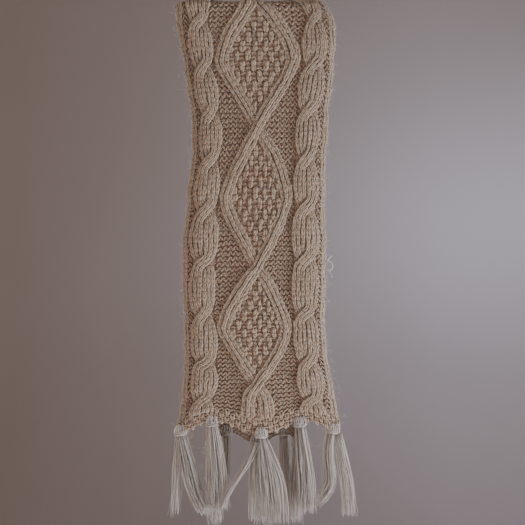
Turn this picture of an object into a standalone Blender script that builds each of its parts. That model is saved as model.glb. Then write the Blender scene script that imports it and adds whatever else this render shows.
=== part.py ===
"""Aran scarf with a knotted fringe, folded in half over the tips of two wall hooks.

The wall is the plane y = 0 and the scarf hangs in front of it, at -Y. The origin lies on the wall,
midway between the hooks at the height of their plates' centres. Metres, +Z up.
The panel is one knitted sheet. A point on it has a wale u, counted in stitches from the middle of the
panel, and a row r, counted up the front fall, over the fold and down the back fall.
"""

import math
from collections import namedtuple

import bmesh
import bpy
from mathutils import Vector

MM = 0.001

# The two hooks
HOOK_PITCH = 118 * MM
PLATE_HEIGHT = 43.5 * MM
PLATE_TOP_RADIUS = 8.6 * MM
PLATE_FOOT_RADIUS = 4.6 * MM
PLATE_THICKNESS = 4.6 * MM
TIP_REACH = 40 * MM
TIP_RADIUS = 5 * MM
TIP_CENTRE_Z = -10.3 * MM

# The knitted panel, in stitches and rows
PANEL_HALF = 8
CABLE_FOOT_OUT = 14
EDGE_WALE = 17
ROWS = 178
REPEAT_ROWS = 26
FIRST_CROSSING_ROW = 11
BAND_HALF = 1.6
BAND_START_WALE = 1.6
BAND_TURN_WALE = 6.3
BAND_ROWS_PER_STITCH = 2

# The cloth
KNIT_HALF = 2.0 * MM
REST_GAP = 0.8 * MM
SEAM_GAP = 0.3 * MM
FOLD_RADIUS = TIP_RADIUS + REST_GAP + KNIT_HALF
FOLD_FIRST_ROW = 86.75
FOLD_LAST_ROW = 91.25
FOLD_ROW_HEIGHT = math.pi * FOLD_RADIUS / (FOLD_LAST_ROW - FOLD_FIRST_ROW)
SECTION_STEP_ROWS = 2.2
FOLD_SECTIONS = 6
CABLE_SHARE = 0.65

# The lower edge of each fall dips under its corner and middle tassels
SCALLOP = 6.5 * MM
SCALLOP_REACH_ROWS = 15
SCALLOP_SET_BACK = 3.5 * MM
SCALLOP_SHIFT = 0.02

# Heights of the right side over the wall-facing middle of the sheet
GROUND_RISE = 1.9 * MM
MOSS_RISE = 2.6 * MM
BAND_RISE = 4.3 * MM
CABLE_RISE = 6.0 * MM
SELVEDGE_RISE = 2.6 * MM
GUTTER_RISE = 1.3 * MM
BORDER_RISE = 2.4 * MM
CABLE_PINCH = 0.7
CABLE_FLANK_SHARE = 0.74
EDGE_SHARE = 0.6
BORDER_ROWS = 6

# Heights of chosen rows on the front fall, and how far in front of the wall each fall hangs there
Level = namedtuple("Level", "row height depth")
FRONT_LEVELS = (
    Level(0, -469.5, -46.4),
    Level(11, -420.8, -46.6),
    Level(37, -291.8, -47.0),
    Level(63, -141.0, -47.4),
    Level(86.75, -10.3, -47.8),
)
BACK_LEVELS = (
    Level(91.25, -10.3, -32.2),
    Level(92.7, -18.2, -31.4),
    Level(94.5, -28.0, -29.6),
    Level(97.5, -44.4, -25.6),
    Level(102, -68.9, -20.4),
    Level(112, -125.4, -18.0),
    Level(140, -280.0, -17.2),
    Level(178, -489.1, -16.8),
)

# Where the cables turn, in rows of the front fall. The back fall mirrors them about its top row.
CABLE_TURNS = (-2, 7, 16, 27, 38, 48, 57, 66, 75, 84)

# Each section: millimetres across the flat sheet, then the angle in degrees by which the sheet has
# turned away from the flat, towards its wrong side, at the ground, cable foot, cable crest, gutter
# and edge. mid is the x of the panel's middle.
Section = namedtuple(
    "Section",
    "row mid left_panel right_panel left_side right_side ground foot crest gutter edge",
)
SECTIONS = (
    Section(0, 11.5, 50, 47, 42, 48, 2, 0, 4, 18, 45),
    Section(7, 11.2, 46, 46, 41, 44, 4, 0, 4, 22, 55),
    Section(18, 11.5, 44, 42, 41, 39, 6, 0, 4, 26, 64),
    Section(29, 12.0, 47.5, 38, 39, 41, 6, 0, 4, 28, 66),
    Section(40, 12.1, 44.5, 38.2, 44, 42, 6, 0, 4, 28, 66),
    Section(49, 12.1, 43.7, 39.3, 39.5, 39, 6, 0, 4, 28, 66),
    Section(57, 12.1, 41, 40.4, 35.5, 38, 5, 0, 4, 26, 54),
    Section(62, 12.1, 39.6, 41, 35.5, 39, 5, 0, 4, 26, 54),
    Section(67, 11.8, 41.5, 43.3, 35.5, 38.5, 4, 0, 4, 26, 54),
    Section(76, 11.0, 48, 49.5, 35, 38.5, 2, 0, 2, 20, 64),
    Section(83, 10.4, 50, 51.5, 37, 35, 0, 0, 0, 4, 58),
    Section(86.75, 9.5, 50, 50, 39, 32, 0, 0, 0, 1, 56),
    Section(89, 3.0, 44, 44, 38, 35, -4, -3, 0, 2, 48),
    Section(90.2, 1.0, 39, 39, 37, 37, -24, -18, 5, 38, 42),
    Section(91.25, 0.0, 36, 36, 36, 36, -40, -30, 15, 62, 62),
    Section(92.7, 0.0, 34, 34, 35, 35, -52, -38, 25, 75, 76),
    Section(94.5, 0.0, 34, 34, 35, 35, -50, -36, 26, 77, 84),
    Section(97.5, 0.3, 35, 35, 36, 36, -34, -24, 30, 80, 98),
    Section(102, 2.4, 36, 36, 37, 37, -15, -7, 34, 78, 118),
    Section(112, 5.0, 37, 37, 37, 37, -11, -4, 34, 74, 122),
    Section(140, 8.5, 37, 37, 37, 37, -8, -4, 33, 72, 120),
    Section(165, 9.5, 35.5, 35, 35, 34, -9, -4, 32, 70, 108),
    Section(178, 9.0, 31, 31, 30, 28, -7, 0, 30, 58, 82),
)
# Tassels: where each is tied, and the centre and half widths of the bundle down its length
Tassel = namedtuple("Tassel", "name wale row lean sway spread length")
TASSELS = (
    Tassel("tassel_front_1", -15.8, 0, 15, 4, 7.5, 96),
    Tassel("tassel_front_2", -8.0, 0, 1, -2, 7.5, 104),
    Tassel("tassel_front_3", 0.7, 0, 6, 3, 17, 98),
    Tassel("tassel_front_4", 8.0, 0, 1, 2, 8.5, 104),
    Tassel("tassel_front_5", 15.4, 0, 4, -3, 11, 98),
    Tassel("tassel_back_1", -15.2, ROWS, 3, 2, 7.0, 88),
    Tassel("tassel_back_2", -8.4, ROWS, -5, -3, 7.0, 88),
    Tassel("tassel_back_3", 0.2, ROWS, 2, 3, 8.5, 90),
    Tassel("tassel_back_4", 8.4, ROWS, 5, -2, 7.0, 88),
    Tassel("tassel_back_5", 15.2, ROWS, -3, 2, 7.0, 88),
)
TASSEL_KNOT_HALF = 5.0 * MM
TASSEL_TOP_SHARE = 0.8
TASSEL_SKIN = 1.2 * MM
TASSEL_DRIFT = 1.5 * MM
TASSEL_THICKNESS_SHARE = 0.62
TASSEL_RINGS = 7
TASSEL_SIDES = 10

# The prong's centre line in the plane of its hook, from the plate to the tip, and its half widths
Bend = namedtuple("Bend", "reach height half_width")
PRONG = (
    Bend(-4.9, -14.5, 3.6),
    Bend(-9.0, -18.6, 3.5),
    Bend(-15.0, -22.6, 3.3),
    Bend(-22.5, -25.0, 3.1),
    Bend(-30.0, -24.6, 3.1),
    Bend(-36.0, -21.4, 3.5),
    Bend(-39.2, -16.4, 4.4),
    Bend(-40.0, -10.3, 5.0),
)
PRONG_SIDES = 12
PLATE_SEGMENTS = 10
PLATE_DOME = ((1.0, 0.0), (1.0, 0.45), (0.86, 0.8), (0.6, 1.0))
TIP_RING_TURNS = (28, 56, 78)
SHARP_ANGLE = math.radians(50)

Finish = namedtuple("Finish", "name colour roughness metallic")
WOOL = Finish("wool_natural", (0.63, 0.54, 0.43), 0.9, 0.0)
FRINGE = Finish("wool_fringe", (0.66, 0.57, 0.46), 0.9, 0.0)
CHROME = Finish("chrome", (0.72, 0.71, 0.69), 0.14, 1.0)


def clear_scene():
    for item in list(bpy.data.objects):
        bpy.data.objects.remove(item, do_unlink=True)


def material(finish):
    made = bpy.data.materials.get(finish.name)
    if made:
        return made
    made = bpy.data.materials.new(finish.name)
    made.use_nodes = True
    shader = made.node_tree.nodes["Principled BSDF"]
    shader.inputs["Base Color"].default_value = (*finish.colour, 1)
    shader.inputs["Roughness"].default_value = finish.roughness
    shader.inputs["Metallic"].default_value = finish.metallic
    return made


def smooth_between(table, key, value, at):
    """A curve through the table's rows: cubic, with each row's slope taken from its neighbours."""
    place = [getattr(row, key) for row in table]
    height = [getattr(row, value) for row in table]
    at = min(max(at, place[0]), place[-1])
    last = len(table) - 1
    i = next((n for n in range(last) if at <= place[n + 1]), last - 1)

    def slope(n):
        low = max(n - 1, 0)
        high = min(n + 1, last)
        return (height[high] - height[low]) / (place[high] - place[low])

    span = place[i + 1] - place[i]
    t = (at - place[i]) / span
    start = height[i] + slope(i) * span * t
    end = height[i + 1] - slope(i + 1) * span * (1 - t)
    blend = t * t * (3 - 2 * t)
    return start * (1 - blend) + end * blend


def section_value(name, row):
    return smooth_between(SECTIONS, "row", name, row)


def level_at(levels, row):
    depth = smooth_between(levels, "row", "depth", row) * MM
    return depth, smooth_between(levels, "row", "height", row) * MM


def spine(row):
    """(y, z) of the sheet's middle at a row, before its scallop."""
    if row <= FOLD_FIRST_ROW:
        return level_at(FRONT_LEVELS, row)
    if row < FOLD_LAST_ROW:
        turned = math.pi * (row - FOLD_FIRST_ROW) / (FOLD_LAST_ROW - FOLD_FIRST_ROW)
        return (
            -TIP_REACH - FOLD_RADIUS * math.cos(turned),
            TIP_CENTRE_Z + FOLD_RADIUS * math.sin(turned),
        )
    return level_at(BACK_LEVELS, row)


def right_side(row):
    """(y, z) of the direction that the right side of the sheet faces at a row."""
    step = 0.2
    before = spine(max(row - step, 0))
    after = spine(min(row + step, ROWS))
    along_y = after[0] - before[0]
    along_z = after[1] - before[1]
    length = math.hypot(along_y, along_z)
    return -along_z / length, along_y / length


def wales_and_turns(row, side):
    """The named wales of one side at a row: (wale, distance from the middle, turn in radians)."""
    panel = section_value("left_panel" if side < 0 else "right_panel", row) * MM
    edging = section_value("left_side" if side < 0 else "right_side", row) * MM
    cable = edging * CABLE_SHARE
    gutter = panel + cable
    stops = (
        (0, 0, 0),
        (PANEL_HALF / 2, panel / 2, section_value("ground", row)),
        (PANEL_HALF, panel, section_value("foot", row)),
        ((PANEL_HALF + CABLE_FOOT_OUT) / 2, panel + cable / 2, section_value("crest", row)),
        (CABLE_FOOT_OUT, gutter, section_value("gutter", row)),
        (EDGE_WALE, panel + edging, section_value("edge", row)),
    )
    return [(wale, along, math.radians(turn)) for wale, along, turn in stops]


def across(row, wale):
    """(distance to the side, distance towards the wrong side, turn) of a wale at a row."""
    side = -1 if wale < 0 else 1
    stops = wales_and_turns(row, side)
    aside = 0.0
    under = 0.0
    left = abs(wale)
    for (w0, d0, turn0), (w1, d1, turn1) in zip(stops, stops[1:]):
        share = min(max((left - w0) / (w1 - w0), 0), 1)
        pieces = 4
        for n in range(pieces):
            turn = turn0 + (turn1 - turn0) * share * (n + 0.5) / pieces
            aside += (d1 - d0) * share / pieces * math.cos(turn)
            under += (d1 - d0) * share / pieces * math.sin(turn)
        end_turn = turn0 + (turn1 - turn0) * share
        if left <= w1:
            break
    return side * aside, under, side * end_turn


def scallop(row, wale):
    """(rise, set-back) of the sheet near its two lower edges."""
    share = (wale + EDGE_WALE) / (2 * EDGE_WALE)
    wave = math.cos(4 * math.pi * (share - SCALLOP_SHIFT))
    near = max(1 - min(row, ROWS - row) / SCALLOP_REACH_ROWS, 0) ** 2
    set_back = SCALLOP_SET_BACK * (1 - wave) / 2 * near
    return -SCALLOP * wave * near, set_back if row < FOLD_FIRST_ROW else 0.0


def sheet_point(row, wale, above=0.0):
    """The point of the sheet at a row and wale, moved out on the right side by a height."""
    aside, under, turn = across(row, wale)
    y, z = spine(row)
    out_y, out_z = right_side(row)
    rise, set_back = scallop(row, wale)
    under += set_back
    lift = above * math.cos(turn)
    x = section_value("mid", row) * MM + aside + above * math.sin(turn)
    return Vector((x, y + out_y * (lift - under), z + out_z * (lift - under) + rise))


def rows_from_crossing(row):
    phase = (row - FIRST_CROSSING_ROW) % REPEAT_ROWS
    return min(phase, REPEAT_ROWS - phase)


def band_wale(row):
    """How far the diamond's band lies from the middle wale: it travels a stitch in two rows."""
    if row < FIRST_CROSSING_ROW or row > ROWS - FIRST_CROSSING_ROW:
        return BAND_START_WALE
    travelled = 1 + rows_from_crossing(row) / BAND_ROWS_PER_STITCH
    return min(max(travelled, BAND_START_WALE), BAND_TURN_WALE)


def cable_swell(row):
    """1 at the fat middle of a cable's bead, less where it turns."""
    from_edge = min(row, ROWS - row)
    turns = CABLE_TURNS + tuple(ROWS - turn for turn in CABLE_TURNS)
    before = max(turn for turn in turns if turn <= max(from_edge, turns[0]))
    after = min(turn for turn in turns if turn > before)
    bead = math.sin(math.pi * (from_edge - before) / (after - before))
    return CABLE_PINCH + (1 - CABLE_PINCH) * bead


def cad_wales(row):
    """(wale, right-side rise) of the section's corners on one side, from the middle out."""
    band = band_wale(row)
    inner = max(band - BAND_HALF, 0.4)
    swell = cable_swell(row)
    middle = BAND_RISE if inner < 0.7 else MOSS_RISE
    corners = [
        (0.0, middle),
        (inner, middle),
        (band, BAND_RISE),
        (min(band + BAND_HALF, PANEL_HALF - 0.45), GROUND_RISE),
        (PANEL_HALF, GROUND_RISE),
        (PANEL_HALF + 1.0, CABLE_RISE * CABLE_FLANK_SHARE * swell),
        ((PANEL_HALF + CABLE_FOOT_OUT) / 2, CABLE_RISE * swell),
        (CABLE_FOOT_OUT - 0.8, CABLE_RISE * CABLE_FLANK_SHARE * swell),
        (CABLE_FOOT_OUT + 0.5, GUTTER_RISE),
        (EDGE_WALE - 1, SELVEDGE_RISE),
        (EDGE_WALE, SELVEDGE_RISE * EDGE_SHARE),
    ]
    if min(row, ROWS - row) < BORDER_ROWS:
        corners = [(wale, min(rise, BORDER_RISE)) for wale, rise in corners]
    return corners


def section_loop(row):
    """One closed ring of points round the sheet's thickness: right side first, then wrong side."""
    half = cad_wales(row)
    wales = [(-wale, rise) for wale, rise in reversed(half)] + half[1:]
    front = [sheet_point(row, wale, rise) for wale, rise in wales]
    back = [sheet_point(row, wale, -KNIT_HALF) for wale, _ in reversed(wales)]
    return front + back


def add_object(name, mesh_maker, finish, smooth=True):
    mesh = bpy.data.meshes.new(name)
    form = bmesh.new()
    mesh_maker(form)
    bmesh.ops.recalc_face_normals(form, faces=form.faces)
    form.to_mesh(mesh)
    form.free()
    mesh.materials.append(material(finish))
    if smooth:
        mesh.shade_smooth()
        mesh.set_sharp_from_angle(angle=SHARP_ANGLE)
    made = bpy.data.objects.new(name, mesh)
    bpy.context.scene.collection.objects.link(made)
    return made


def skin_loops(form, loops, strip_caps):
    """Joins rings of equal size. Caps are strips across a flat ring, or fans."""
    rings = [[form.verts.new(point) for point in loop] for loop in loops]
    for lower, upper in zip(rings, rings[1:]):
        for i in range(len(lower)):
            j = (i + 1) % len(lower)
            form.faces.new((lower[i], lower[j], upper[j], upper[i]))
    for ring in (rings[0], rings[-1]):
        if not strip_caps:
            form.faces.new(ring)
            continue
        count = len(ring)
        for i in range(count // 2 - 1):
            form.faces.new((ring[i], ring[i + 1], ring[count - 2 - i], ring[count - 1 - i]))


def stretch_of_scarf(name, first, last, steps):
    rows = [first + (last - first) * n / steps for n in range(steps + 1)]

    def make(form):
        skin_loops(form, [section_loop(row) for row in rows], strip_caps=True)
        bmesh.ops.triangulate(form, faces=form.faces)

    return add_object(name, make, WOOL)


def tassel(shape):
    """A plain tapering bundle of the fringe's reach, hung under the edge of its fall."""
    down = -1 if shape.row == 0 else 1
    tie = sheet_point(shape.row, shape.wale)
    near = [sheet_point(shape.row, shape.wale + step) for step in (-2, -1, 0, 1, 2)]
    top = min(point.z for point in near) - SEAM_GAP
    mid_y = tie.y
    loops = []
    for ring in range(TASSEL_RINGS + 1):
        t = ring / TASSEL_RINGS
        belly = math.sin(math.pi * min(t * 1.25, 1) ** 0.8 / 2)
        half = TASSEL_KNOT_HALF + (shape.spread * MM - TASSEL_KNOT_HALF) * belly
        if ring == 0:
            half = TASSEL_KNOT_HALF * TASSEL_TOP_SHARE
        thick = half * TASSEL_THICKNESS_SHARE + TASSEL_SKIN
        thick = min(thick, TASSEL_KNOT_HALF)
        x = tie.x + (shape.lean * t * t + shape.sway * math.sin(math.pi * t)) * MM
        z = top - shape.length * MM * t
        y = mid_y - down * TASSEL_DRIFT * t
        loops.append(
            [
                Vector((x + half * math.cos(a), y + thick * math.sin(a), z))
                for a in (2 * math.pi * n / TASSEL_SIDES for n in range(TASSEL_SIDES))
            ]
        )
    return add_object(shape.name, lambda form: skin_loops(form, loops, strip_caps=False), FRINGE)


def plate_outline():
    """Half of a teardrop from its foot to its top: (half width, height) at each step."""
    top = PLATE_HEIGHT / 2 - PLATE_TOP_RADIUS
    foot = -PLATE_HEIGHT / 2 + PLATE_FOOT_RADIUS
    lean = math.asin((PLATE_TOP_RADIUS - PLATE_FOOT_RADIUS) / (top - foot))
    points = []
    for n in range(PLATE_SEGMENTS // 2 + 1):
        a = -math.pi / 2 + (math.pi / 2 - lean) * n / (PLATE_SEGMENTS // 2)
        points.append((PLATE_FOOT_RADIUS * math.cos(a), foot + PLATE_FOOT_RADIUS * math.sin(a)))
    for n in range(PLATE_SEGMENTS + 1):
        a = -lean + (math.pi / 2 + lean) * n / PLATE_SEGMENTS
        points.append((PLATE_TOP_RADIUS * math.cos(a), top + PLATE_TOP_RADIUS * math.sin(a)))
    return points


def hook_plate(name, x):
    """A teardrop plate, flat against the wall and domed in front."""
    outline = plate_outline()
    ring = [(half, z) for half, z in outline[1:-1]]
    ring = [outline[0]] + ring + [outline[-1]] + [(-half, z) for half, z in reversed(ring)]

    def make(form):
        loops = [
            [Vector((x + half * size, -PLATE_THICKNESS * out, z * size)) for half, z in ring]
            for size, out in PLATE_DOME
        ]
        skin_loops(form, loops, strip_caps=False)

    return add_object(name, make, CHROME)


def hook_prong(name, x):
    """The J-shaped prong: round sections along its bend, closed by a round tip."""
    loops = []
    last = len(PRONG) - 1
    for i, bend in enumerate(PRONG):
        before = PRONG[max(i - 1, 0)]
        after = PRONG[min(i + 1, last)]
        run = Vector((0, after.reach - before.reach, after.height - before.height)).normalized()
        if i == 0:
            run = Vector((0, -1, 0))
        if i == last:
            run = Vector((0, 0, 1))
        out = Vector((1, 0, 0)).cross(run)
        centre = Vector((x, bend.reach * MM, bend.height * MM))
        loops.append(prong_ring(centre, out, bend.half_width * MM))
    centre = Vector((x, PRONG[-1].reach * MM, PRONG[-1].height * MM))
    for turned in TIP_RING_TURNS:
        a = math.radians(turned)
        lifted = centre + Vector((0, 0, TIP_RADIUS * math.sin(a)))
        loops.append(prong_ring(lifted, Vector((0, -1, 0)), TIP_RADIUS * math.cos(a)))
    return add_object(name, lambda form: skin_loops(form, loops, strip_caps=False), CHROME)


def prong_ring(centre, out, radius):
    return [
        centre + Vector((1, 0, 0)) * (radius * math.cos(a)) + out * (radius * math.sin(a))
        for a in (2 * math.pi * n / PRONG_SIDES for n in range(PRONG_SIDES))
    ]


def build():
    clear_scene()
    half_gap = SEAM_GAP / 2 / FOLD_ROW_HEIGHT
    fall_sections = round(FOLD_FIRST_ROW / SECTION_STEP_ROWS)
    stretch_of_scarf("scarf_front_fall", 0, FOLD_FIRST_ROW - half_gap, fall_sections)
    stretch_of_scarf("scarf_fold", FOLD_FIRST_ROW + half_gap, FOLD_LAST_ROW - half_gap, FOLD_SECTIONS)
    stretch_of_scarf("scarf_back_fall", FOLD_LAST_ROW + half_gap, ROWS, fall_sections)
    for shape in TASSELS:
        tassel(shape)
    for side, x in (("left", -HOOK_PITCH / 2), ("right", HOOK_PITCH / 2)):
        hook_plate(f"hook_{side}_plate", x)
        hook_prong(f"hook_{side}_prong", x)


build()
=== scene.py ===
"""The looks of a cable-knit scarf that hangs over two wall hooks.

The panel is a thin knitted sheet. Every visible stitch is its own loop of yarn: two leaf-shaped legs
for a knit stitch and a short wave for a purl one, laid on the sheet along the line of its wale.
A place on the sheet is (wale, row, height): stitches from the panel's middle, rows from the front
cast-on edge over the fold to the back edge, and metres out on the right side.
"""

import math
from collections import namedtuple
from functools import partial
from itertools import product

import bmesh
import bpy
import numpy as np
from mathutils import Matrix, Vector


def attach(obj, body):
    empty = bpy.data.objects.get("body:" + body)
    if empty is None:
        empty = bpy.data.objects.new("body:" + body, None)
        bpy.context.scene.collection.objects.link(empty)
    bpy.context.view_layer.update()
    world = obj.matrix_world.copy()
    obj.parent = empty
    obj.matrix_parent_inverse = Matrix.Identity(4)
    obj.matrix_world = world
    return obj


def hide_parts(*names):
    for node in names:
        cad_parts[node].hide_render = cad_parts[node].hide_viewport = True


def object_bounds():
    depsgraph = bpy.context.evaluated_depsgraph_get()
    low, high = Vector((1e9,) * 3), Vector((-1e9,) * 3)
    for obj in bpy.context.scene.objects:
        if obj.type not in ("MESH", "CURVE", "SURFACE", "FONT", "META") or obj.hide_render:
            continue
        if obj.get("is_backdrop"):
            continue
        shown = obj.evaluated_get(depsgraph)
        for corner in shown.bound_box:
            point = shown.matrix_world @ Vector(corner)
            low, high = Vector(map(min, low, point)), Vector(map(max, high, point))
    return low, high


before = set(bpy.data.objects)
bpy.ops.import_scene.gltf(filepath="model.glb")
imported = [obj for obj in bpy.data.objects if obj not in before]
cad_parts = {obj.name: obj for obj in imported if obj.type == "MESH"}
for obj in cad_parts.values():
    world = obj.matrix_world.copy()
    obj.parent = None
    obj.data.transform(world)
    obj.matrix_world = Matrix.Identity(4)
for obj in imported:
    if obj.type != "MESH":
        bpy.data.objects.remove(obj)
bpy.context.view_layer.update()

bl_info = {
    "name": "Cable-knit scarf on wall hooks",
    "version": (1, 0, 0),
    "blender": (4, 5, 0),
    "location": "View3D > Sidebar > Scarf",
    "description": "Builds a fringed cable-knit scarf, the two hooks that hold it and a studio",
    "category": "Object",
}

MM = 0.001
BODY = "root"
SEED = 11

# The knitting chart, in stitches (wales) and rows
PANEL_HALF = 8
CABLE_MIDDLE = 11
CABLE_OUTER = 14
EDGE_WALE = 17
ROWS = 178
REPEAT_ROWS = 26
FIRST_CROSSING = 11
LAST_CROSSING = ROWS - FIRST_CROSSING
BAND_REACH = 6.5
BAND_BOW_ABOVE = 1.42
BAND_BOW_BELOW = 1.2
BAND_START = 1.9
BORDER_ROWS = 4
FRONT_TURNS = (-2, 7, 16, 27, 38, 48, 57, 66, 75, 84)
CABLE_TURNS = np.array(sorted(FRONT_TURNS + tuple(ROWS - turn for turn in FRONT_TURNS)), float)
TURN_ROWS = 1.2
BEAD_ROWS = 2.6
STRAND_OUT = 1.68
STRAND_OUT_TURN = 1.45
PLACE_TURN = 0.78
PLACE_FULL = 1.12
FALL_TOP_ROW = 89

# The fold over the hooks' tips
TIP_REACH = 40 * MM
TIP_CENTRE_Z = -10.3 * MM
FOLD_RADIUS = 7.8 * MM
FOLD_FIRST_ROW = 86.75
FOLD_LAST_ROW = 91.25

# The lower edges dip under the corner and middle tassels
SCALLOP = 6.5 * MM
SCALLOP_ROWS = 15
SCALLOP_SET_BACK = 3.5 * MM
SKEW_ROWS = 0.5
EDGE_RIPPLE = 0.55 * MM
CABLE_SHARE = 0.65

# Heights in millimetres of each kind of stitch's yarn over the middle of the sheet
SHEET_BACK = -1.9
GROUND_LIFT = 0.5
MOSS_LIFT = 1.4
BAND_LIFT = 2.4
BAND_CROWN = 1.2
SELVEDGE_LIFT = 1.1
GUTTER_LIFT = 0.2
CABLE_LIFT = 0.6
CABLE_CROWN = 4.3
BORDER_LIFT = 1.1
TURN_RISE = 1.7
BACKING_DROP = 0.9
MOSS_UNEVEN = 1.7
SIZE_SPREAD = 0.07
LIFT_SPREAD = 0.14

# Size in millimetres of the stitch that the yarn templates are drawn on
STITCH = 4.9
ROW = 5.3

# Plies twisted together in the yarn
PLIES = 3.0

Level = namedtuple("Level", "row height depth")
FRONT_LEVELS = (
    Level(0, -469.5, -46.4),
    Level(11, -420.8, -46.6),
    Level(37, -291.8, -47.0),
    Level(63, -141.0, -47.4),
    Level(86.75, -10.3, -47.8),
)
BACK_LEVELS = (
    Level(91.25, -10.3, -32.2),
    Level(92.7, -18.2, -31.4),
    Level(94.5, -28.0, -29.6),
    Level(97.5, -44.4, -25.6),
    Level(102, -68.9, -20.4),
    Level(112, -125.4, -18.0),
    Level(140, -280.0, -17.2),
    Level(178, -489.1, -16.8),
)

# Sections of the hanging sheet: x of its middle, millimetres across each panel half and each side
# (cable and selvedge), then the turn in degrees from the flat at five wales
Section = namedtuple(
    "Section",
    "row mid left_panel right_panel left_side right_side ground foot crest gutter edge",
)
SECTIONS = (
    Section(0, 11.5, 50, 47, 42, 48, 2, 0, 4, 18, 45),
    Section(7, 11.2, 46, 46, 41, 44, 4, 0, 4, 22, 55),
    Section(18, 11.5, 44, 42, 41, 39, 6, 0, 4, 26, 64),
    Section(29, 12.0, 47.5, 38, 39, 41, 6, 0, 4, 28, 66),
    Section(40, 12.1, 44.5, 38.2, 44, 42, 6, 0, 4, 28, 66),
    Section(49, 12.1, 43.7, 39.3, 39.5, 39, 6, 0, 4, 28, 66),
    Section(57, 12.1, 41, 40.4, 35.5, 38, 5, 0, 4, 26, 54),
    Section(62, 12.1, 39.6, 41, 35.5, 39, 5, 0, 4, 26, 54),
    Section(67, 11.8, 41.5, 43.3, 35.5, 38.5, 4, 0, 4, 26, 54),
    Section(76, 11.0, 48, 49.5, 35, 38.5, 2, 0, 2, 20, 64),
    Section(83, 10.4, 50, 51.5, 37, 35, 0, 0, 0, 4, 58),
    Section(86.75, 9.5, 50, 50, 39, 32, 0, 0, 0, 1, 56),
    Section(89, 3.0, 44, 44, 38, 35, -4, -3, 0, 2, 48),
    Section(90.2, 1.0, 39, 39, 37, 37, -24, -18, 5, 38, 42),
    Section(91.25, 0.0, 36, 36, 36, 36, -40, -30, 15, 62, 62),
    Section(92.7, 0.0, 34, 34, 35, 35, -52, -38, 25, 75, 76),
    Section(94.5, 0.0, 34, 34, 35, 35, -50, -36, 26, 77, 84),
    Section(97.5, 0.3, 35, 35, 36, 36, -34, -24, 30, 80, 98),
    Section(102, 2.4, 36, 36, 37, 37, -15, -7, 34, 78, 118),
    Section(112, 5.0, 37, 37, 37, 37, -11, -4, 34, 74, 122),
    Section(140, 8.5, 37, 37, 37, 37, -8, -4, 33, 72, 120),
    Section(165, 9.5, 35.5, 35, 35, 34, -9, -4, 32, 70, 108),
    Section(178, 9.0, 31, 31, 30, 28, -7, 0, 30, 58, 82),
)

# Bundles of fringe: the tassel, the wale it is tied at, its number of strands, the half width in
# millimetres at its foot, and its course below the knot as (aside, down) steps in millimetres
Bundle = namedtuple("Bundle", "tassel wale row strands foot course")
BUNDLES = (
    Bundle(
        "front_1", -15.8, 0, 138, 9.5, ((0, 0), (3, -14), (7, -32), (11, -50), (17, -70), (27, -90))
    ),
    Bundle("front_1", -16.2, 0, 20, 6.5, ((-1, -2), (-3, -24), (-4, -50), (-5, -74), (-6, -94))),
    Bundle("front_2", -8.0, 0, 138, 12.0, ((0, 0), (2, -20), (4, -45), (5, -70), (5, -96))),
    Bundle("front_3", 0.7, 0, 168, 20.0, ((0, 0), (3, -20), (7, -45), (10, -70), (11, -97))),
    Bundle("front_3", 0.3, 0, 36, 3.4, ((-2, -6), (-9, -24), (-21, -44), (-33, -62), (-44, -84))),
    Bundle("front_4", 8.0, 0, 133, 9.5, ((0, 0), (2, -20), (5, -45), (7, -70), (8, -98))),
    Bundle(
        "front_5", 15.2, 0, 102, 7.5, ((-2, 0), (-5, -18), (-4, -38), (-3, -54), (-9, -70), (-20, -84))
    ),
    Bundle("front_5", 15.9, 0, 61, 8.5, ((2, -2), (6, -24), (11, -48), (14, -70), (16, -94))),
    Bundle("back_1", -15.2, ROWS, 66, 8.0, ((0, 0), (1, -22), (2, -50), (4, -88))),
    Bundle("back_2", -8.4, ROWS, 66, 8.0, ((0, 0), (-1, -22), (-3, -50), (-6, -88))),
    Bundle("back_3", 0.2, ROWS, 71, 10.5, ((0, 0), (1, -22), (2, -50), (3, -90))),
    Bundle("back_4", 8.4, ROWS, 66, 8.0, ((0, 0), (1, -22), (3, -50), (6, -88))),
    Bundle("back_5", 15.2, ROWS, 66, 8.0, ((0, 0), (0, -22), (-2, -50), (-3, -88))),
)


# ---------------------------------------------------------------- the sheet


def smooth_between(table, value, at):
    """Values of a cubic curve through the table's rows at an array of rows."""
    place = np.array([line.row for line in table], float)
    height = np.array([getattr(line, value) for line in table], float)
    last = len(table) - 1
    low = np.maximum(np.arange(last + 1) - 1, 0)
    high = np.minimum(np.arange(last + 1) + 1, last)
    slope = (height[high] - height[low]) / (place[high] - place[low])
    at = np.clip(at, place[0], place[-1])
    i = np.clip(np.searchsorted(place, at, side="left") - 1, 0, last - 1)
    span = place[i + 1] - place[i]
    t = (at - place[i]) / span
    start = height[i] + slope[i] * span * t
    end = height[i + 1] - slope[i + 1] * span * (1 - t)
    blend = t * t * (3 - 2 * t)
    return start * (1 - blend) + end * blend


def spine(rows):
    """(y, z) of the sheet's middle wale at an array of rows."""
    turned = math.pi * (rows - FOLD_FIRST_ROW) / (FOLD_LAST_ROW - FOLD_FIRST_ROW)
    y = -TIP_REACH - FOLD_RADIUS * np.cos(turned)
    z = TIP_CENTRE_Z + FOLD_RADIUS * np.sin(turned)
    for levels, there in ((FRONT_LEVELS, rows <= FOLD_FIRST_ROW), (BACK_LEVELS, rows >= FOLD_LAST_ROW)):
        y = np.where(there, smooth_between(levels, "depth", rows) * MM, y)
        z = np.where(there, smooth_between(levels, "height", rows) * MM, z)
    return y, z


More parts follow.
